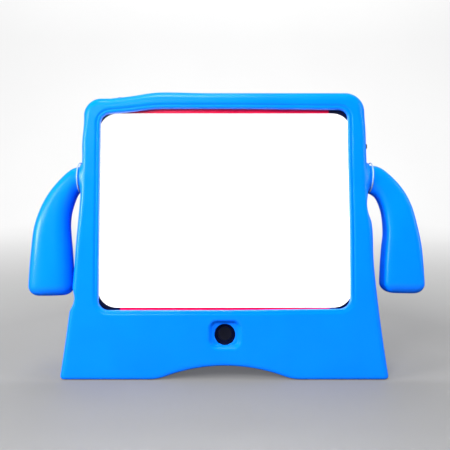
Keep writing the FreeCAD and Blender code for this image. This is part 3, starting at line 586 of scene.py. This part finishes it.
def make_arm(side):
    """One foam arm, root to hand, on the left (-1) or right (+1)."""
    stations = arm_stations(side)
    rings = [arm_ring(*row) for row in through(stations, RINGS)]
    rings += hand_rings(stations[-1])
    if side > 0:
        shares = smooth_step(0.0, SHIFTED_FROM * RINGS, np.arange(len(rings)))
        rings = [ring + share * RIGHT_ARM_SHIFT for ring, share in zip(rings, shares)]
    points = np.concatenate(rings)
    points[:, 0] *= side
    faces = []
    for r in range(len(rings) - 1):
        for k in range(RING_POINTS):
            a, b = r * RING_POINTS + k, r * RING_POINTS + (k + 1) % RING_POINTS
            quad = (a, b, b + RING_POINTS, a + RING_POINTS)
            faces.append(quad if side < 0 else quad[::-1])
    first = list(range(RING_POINTS))
    last = [i + (len(rings) - 1) * RING_POINTS for i in first]
    faces.append(first[::-1] if side < 0 else first)
    faces.append(last if side < 0 else last[::-1])
    name = "left" if side < 0 else "right"
    arm = new_mesh(name + "_foam_arm", stand(points), faces)
    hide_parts(name + "_arm", name + "_arm_root")
    place(side * BLEND_START[0], SHOULDER_Y, BLEND_START[1])
    place(side * BLEND_END[0], SHOULDER_Y, BLEND_END[1])
    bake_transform(arm)
    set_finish(arm, "foam_blue")
    return arm


def make_band(side):
    """The thin white ring round an arm's root. It rests on the shoulder's face, a little off square."""
    around, along = 96, 16
    points, faces = [], []
    for i in range(around):
        a = 2 * math.pi * i / around
        middle = BAND_SEAT - BAND_LEAN_FRONT * math.cos(a) + BAND_LEAN_UP[side] * math.sin(a)
        for j in range(along):
            b = 2 * math.pi * j / along
            r = BAND_RADIUS + BAND_TUBE * math.cos(b)
            x = side * (middle + BAND_TUBE * 1.2 * math.sin(b))
            points.append((x, SHOULDER_Y + r * math.cos(a), BAND_Z + r * math.sin(a)))
            c, d = (i + 1) % around, (j + 1) % along
            quad = (i * along + j, c * along + j, c * along + d, i * along + d)
            faces.append(quad if side > 0 else quad[::-1])
    name = "left" if side < 0 else "right"
    band = new_mesh(name + "_white_band", stand(points), faces)
    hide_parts(name + "_arm_band")
    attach(band, name + "_shoulder")
    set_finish(band, "band_white")
    return band


# Materials
def material(name, color, roughness, metallic=0.0):
    """A node material and its principled shader."""
    made = bpy.data.materials.new(name)
    made.use_nodes = True
    shader = made.node_tree.nodes["Principled BSDF"]
    shader.inputs["Base Color"].default_value = (*color, 1.0)
    shader.inputs["Roughness"].default_value = roughness
    shader.inputs["Metallic"].default_value = metallic
    return made, shader


def add_node(made, kind, **values):
    """A new node with its sockets or settings filled in."""
    node = made.node_tree.nodes.new(kind)
    for key, value in values.items():
        if key in node.inputs:
            node.inputs[key].default_value = value
        else:
            setattr(node, key, value)
    return node


def noise(made, scale, detail=3.0, roughness=0.55):
    """Noise in the object's own space, so that it stays put on the surface."""
    place_node = add_node(made, "ShaderNodeTexCoord")
    texture = add_node(made, "ShaderNodeTexNoise", Scale=scale, Detail=detail, Roughness=roughness)
    made.node_tree.links.new(place_node.outputs["Object"], texture.inputs["Vector"])
    return texture.outputs["Fac"]


def vary_color(made, shader, factor, dark, light):
    """Drives the base color between two close colors."""
    ramp = add_node(made, "ShaderNodeValToRGB")
    ramp.color_ramp.elements[0].position = 0.3
    ramp.color_ramp.elements[0].color = (*dark, 1.0)
    ramp.color_ramp.elements[1].position = 0.7
    ramp.color_ramp.elements[1].color = (*light, 1.0)
    made.node_tree.links.new(factor, ramp.inputs["Fac"])
    made.node_tree.links.new(ramp.outputs["Color"], shader.inputs["Base Color"])


def vary_roughness(made, shader, factor, low, high):
    """Drives the roughness between two values."""
    spread = add_node(made, "ShaderNodeMapRange")
    spread.inputs["To Min"].default_value = low
    spread.inputs["To Max"].default_value = high
    made.node_tree.links.new(factor, spread.inputs["Value"])
    made.node_tree.links.new(spread.outputs["Result"], shader.inputs["Roughness"])


def bump(made, shader, height, depth, strength):
    """Adds a fine surface grain, with its depth in metres."""
    node = add_node(made, "ShaderNodeBump")
    node.inputs["Strength"].default_value = strength
    node.inputs["Distance"].default_value = depth
    made.node_tree.links.new(height, node.inputs["Height"])
    made.node_tree.links.new(node.outputs["Normal"], shader.inputs["Normal"])


def foam_blue():
    """Moulded closed-cell foam: saturated blue, satin, with a fine skin grain and faint colour drift."""
    made, shader = material("foam_blue", (0.0, 0.13, 0.74), 0.3)
    vary_color(made, shader, noise(made, 18.0), (0.0, 0.124, 0.71), (0.0, 0.138, 0.77))
    vary_roughness(made, shader, noise(made, 900.0, 2.0), 0.26, 0.36)
    bump(made, shader, noise(made, 2600.0, 2.0, 0.6), 0.00006, 0.3)
    shader.inputs["Specular IOR Level"].default_value = 0.14
    shader.inputs["Coat Weight"].default_value = 0.45
    shader.inputs["Coat Roughness"].default_value = 0.27
    shader.inputs["Coat IOR"].default_value = 1.35
    return made


def moulded(name, color, roughness, grain=1800.0, depth=0.00004):
    """Moulded plastic or rubber with a fine texture."""
    made, shader = material(name, color, roughness)
    lighter = tuple(min(1.0, c * 1.25 + 0.004) for c in color)
    vary_color(made, shader, noise(made, 60.0), color, lighter)
    vary_roughness(made, shader, noise(made, grain, 2.0), max(0.02, roughness - 0.06), roughness + 0.06)
    bump(made, shader, noise(made, grain, 2.0), depth, 0.3)
    return made


def metal(name, color, roughness):
    """Bare or plated metal with a faint brushed grain."""
    made, shader = material(name, color, roughness, metallic=1.0)
    vary_roughness(made, shader, noise(made, 700.0, 4.0), roughness - 0.08, roughness + 0.12)
    bump(made, shader, noise(made, 1500.0, 3.0), 0.00002, 0.25)
    return made


def screen_white():
    """A blank lit display."""
    made, shader = material("screen_white", (0.95, 0.96, 0.98), 0.35)
    vary_roughness(made, shader, noise(made, 1200.0, 2.0), 0.3, 0.4)
    shader.inputs["Emission Color"].default_value = (1.0, 1.0, 1.0, 1.0)
    shader.inputs["Emission Strength"].default_value = 1.0
    return made


def lens_clear():
    """Thin clear cover glass with a polished face."""
    made, shader = material("lens_clear", (1.0, 1.0, 1.0), 0.03)
    vary_roughness(made, shader, noise(made, 300.0, 2.0), 0.02, 0.05)
    shader.inputs["IOR"].default_value = 1.45
    shader.inputs["Alpha"].default_value = 0.1
    return made


def board_green():
    """Solder mask with pale copper tracks showing through."""
    made, shader = material("board_green", (0.01, 0.17, 0.07), 0.35)
    vary_color(made, shader, noise(made, 260.0, 6.0, 0.8), (0.008, 0.13, 0.05), (0.02, 0.24, 0.1))
    bump(made, shader, noise(made, 700.0, 1.0), 0.00003, 0.4)
    return made


def make_materials():
    """Every material, by the name of its slot."""
    return {
        "foam_blue": foam_blue(),
        "band_white": moulded("band_white", (0.19, 0.26, 0.33), 0.35),
        "bezel_black": moulded("bezel_black", (0.0006, 0.0012, 0.012), 0.3, 2200.0, 0.00001),
        "housing_grey": moulded("housing_grey", (0.07, 0.075, 0.09), 0.5),
        "key_black": moulded("key_black", (0.0035, 0.004, 0.008), 0.4),
        "trim_red": moulded("trim_red", (0.42, 0.0, 0.032), 0.3),
        "lens_clear": lens_clear(),
        "screen_white": screen_white(),
        "steel": metal("steel", (0.58, 0.59, 0.61), 0.3),
        "screw_steel": metal("screw_steel", (0.42, 0.43, 0.46), 0.35),
        "board_green": board_green(),
        "component_black": moulded("component_black", (0.015, 0.015, 0.018), 0.5),
        "battery_silver": metal("battery_silver", (0.6, 0.61, 0.64), 0.38),
        "flex_orange": moulded("flex_orange", (0.6, 0.24, 0.03), 0.35),
        "wire_red": moulded("wire_red", (0.5, 0.01, 0.01), 0.45),
        "gasket_black": moulded("gasket_black", (0.015, 0.015, 0.015), 0.85),
        "cone_black": moulded("cone_black", (0.03, 0.03, 0.034), 0.6),
    }


def dress(materials, pieces):
    """Gives every CAD node, and every new piece, the material of its slot."""
    for part in frame["record"]["subparts"]:
        mesh = frame["nodes"][part["node"]].data
        mesh.materials.clear()
        mesh.materials.append(materials[part["material_slot"]])
    for piece in pieces:
        piece.data.materials.append(materials[piece["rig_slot"]])


# Set
def make_floor():
    """A plain pale floor that curves up into a backdrop behind the object."""
    half, front, back, height, bend = 6.0, -6.0, 1.6, 3.0, 0.6
    profile = [(front, 0.0), (back - bend, 0.0)]
    for step in range(1, 13):
        turn = math.radians(90 * step / 12)
        profile.append((back - bend + bend * math.sin(turn), bend * (1 - math.cos(turn))))
    profile.append((back, height))
    points = [(x, y, z) for y, z in profile for x in (-half, half)]
    faces = [(2 * i, 2 * i + 1, 2 * i + 3, 2 * i + 2) for i in range(len(profile) - 1)]
    floor = new_mesh("floor", points, faces)
    floor.data.materials.append(floor_pale())
    floor.visible_glossy = False


def floor_pale():
    """A matt surface that glows faintly, and more so with distance, so the backdrop stays pale all round."""
    made, shader = material("floor_pale", (0.085, 0.085, 0.085), 0.7)
    vary_color(made, shader, noise(made, 3.0), (0.085, 0.085, 0.085), (0.09, 0.09, 0.09))
    shader.inputs["Emission Color"].default_value = (1.0, 1.0, 1.0, 1.0)
    place_node = add_node(made, "ShaderNodeTexCoord")
    away = add_node(made, "ShaderNodeVectorMath", operation="LENGTH")
    glow = add_node(made, "ShaderNodeMapRange")
    for socket, value in (("From Min", 0.3), ("From Max", 1.3), ("To Min", 0.13), ("To Max", 0.62)):
        glow.inputs[socket].default_value = value
    made.node_tree.links.new(place_node.outputs["Object"], away.inputs[0])
    made.node_tree.links.new(away.outputs["Value"], glow.inputs["Value"])
    made.node_tree.links.new(glow.outputs["Result"], shader.inputs["Emission Strength"])
    return made


def add_light(name, power, size, place_at, target, in_reflections):
    """A white rectangular light that faces its target."""
    data = bpy.data.lights.new(name, "AREA")
    data.energy = power
    data.shape = "RECTANGLE"
    data.size, data.size_y = size
    lamp = bpy.data.objects.new(name, data)
    bpy.context.scene.collection.objects.link(lamp)
    lamp.location = place_at
    lamp.rotation_euler = (Vector(target) - Vector(place_at)).to_track_quat("-Z", "Y").to_euler()
    lamp.visible_glossy = in_reflections


def make_lights():
    """A soft studio: a high frontal key, an overhead box, side panels, small lights for the glints."""
    for light in LIGHTS:
        add_light(*light)


def make_world():
    """A pale surround behind the floor, which lights nothing."""
    world = bpy.data.worlds.new("world")
    world.use_nodes = True
    background = world.node_tree.nodes["Background"]
    background.inputs["Color"].default_value = (1.0, 1.0, 1.0, 1.0)
    background.inputs["Strength"].default_value = WORLD_STRENGTH
    world.cycles_visibility.glossy = False
    world.cycles_visibility.diffuse = False
    bpy.context.scene.world = world
    bpy.context.scene.view_settings.view_transform = "Standard"


def make_camera():
    """A camera level with the upper screen, in front of it and looking a little down."""
    data = bpy.data.cameras.new("camera")
    data.sensor_width = 36.0
    data.lens = CAMERA_LENS
    camera = bpy.data.objects.new("camera", data)
    bpy.context.scene.collection.objects.link(camera)
    camera.location = CAMERA_PLACE
    camera.rotation_euler = (math.radians(90.0 - CAMERA_DOWN), 0.0, 0.0)
    bpy.context.scene.camera = camera


def main():
    """Builds the pieces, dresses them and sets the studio."""
    make_camera()
    pieces = [make_case()]
    for side in (-1, 1):
        pieces += [make_arm(side), make_band(side)]
    dress(make_materials(), pieces)
    make_floor()
    make_lights()
    make_world()


main()
